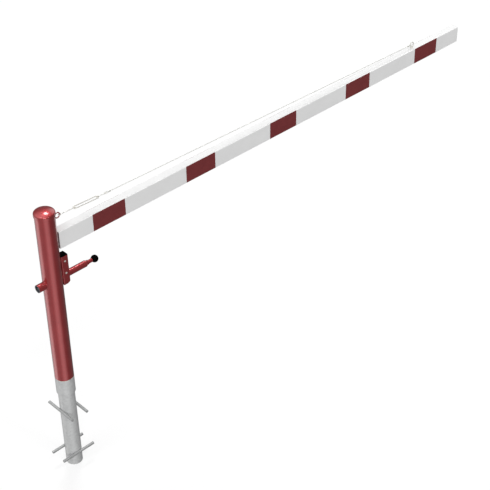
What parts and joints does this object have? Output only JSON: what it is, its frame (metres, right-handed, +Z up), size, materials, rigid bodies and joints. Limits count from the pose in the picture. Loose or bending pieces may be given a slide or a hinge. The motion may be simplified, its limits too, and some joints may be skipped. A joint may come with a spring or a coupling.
{
  "type": "swing barrier",
  "caption": "Manual swing barrier: a red post turning on a standpipe set in the ground carries a striped boom held by a wire stay, with a pull-bolt lock.",
  "frame": {"origin": "centre of the flat lower end of the standpipe, which is the bottom of the part that is set in the ground", "axes": "+X along the closed boom from the post, +Z up the post, +Y to the back of the boom"},
  "size_m": [3.2486, 0.203, 1.664],
  "materials": {
    "galvanised_steel": "dull hot-dip galvanised",
    "bearing_plastic": "turned acetal",
    "red_enamel": "glossy powder coat",
    "white_coated_aluminium": "white powder coat",
    "white_plastic": "moulded",
    "red_film": "reflective film",
    "zinc_plated_steel": "zinc plated",
    "stay_wire": "galvanised wire rope",
    "black_plastic": "moulded",
    "guide_brass": "turned",
    "lock_steel": "dark turned steel"
  },
  "bodies": {
    "fixed_post": {"ground_collar": "galvanised_steel", "lower_anchor_front": "galvanised_steel", "lower_anchor_rear": "galvanised_steel", "lower_bearing_bush": "bearing_plastic", "standpipe": "galvanised_steel", "standpipe_base_plate": "galvanised_steel", "upper_anchor_left": "galvanised_steel", "upper_anchor_right": "galvanised_steel", "upper_bearing_bush": "bearing_plastic"},
    "swing_arm": {"bolt_sleeve": "red_enamel", "boom_beam": "white_coated_aluminium", "boom_end_cap": "white_plastic", "boom_screws": "zinc_plated_steel", "boom_spigot": "red_enamel", "boom_stay_eye": "zinc_plated_steel", "casing_bolt_lower": "zinc_plated_steel", "casing_bolt_upper": "zinc_plated_steel", "casing_mount_strip": "red_enamel", "ferrule_boom_end": "stay_wire", "ferrule_post_end": "stay_wire", "inner_bolt_guide": "guide_brass", "key_core_housing": "lock_steel", "key_stub": "red_enamel", "lock_casing": "red_enamel", "lock_casing_cap": "black_plastic", "outer_bolt_guide": "red_enamel", "post_cap": "red_enamel", "post_stay_eye": "red_enamel", "red_films_back": "red_film", "red_films_front": "red_film", "stay_rope": "stay_wire", "turnbuckle_body": "zinc_plated_steel", "turnbuckle_eye": "zinc_plated_steel", "turnbuckle_hook": "zinc_plated_steel", "turning_post": "red_enamel"},
    "lock_bolt": {"ball_knob": "black_plastic", "pull_bolt": "red_enamel"},
    "key_core": {"key_pin": "lock_steel"}
  },
  "joints": [
    {"name": "boom_swing", "type": "hinge", "parent": "fixed_post", "child": "swing_arm", "pos_m": [0, 0, 0.62], "axis": [0, 0, 1], "range_deg": [-90, 90]},
    {"name": "bolt_slide", "type": "slide", "parent": "swing_arm", "child": "lock_bolt", "axis": [-1, 0, 0], "range_m": [0, 0.015]},
    {"name": "key_turn", "type": "hinge", "parent": "swing_arm", "child": "key_core", "pos_m": [-0.0825, 0, 1.2345], "axis": [1, 0, 0], "range_deg": [0, 90]}
  ]
}
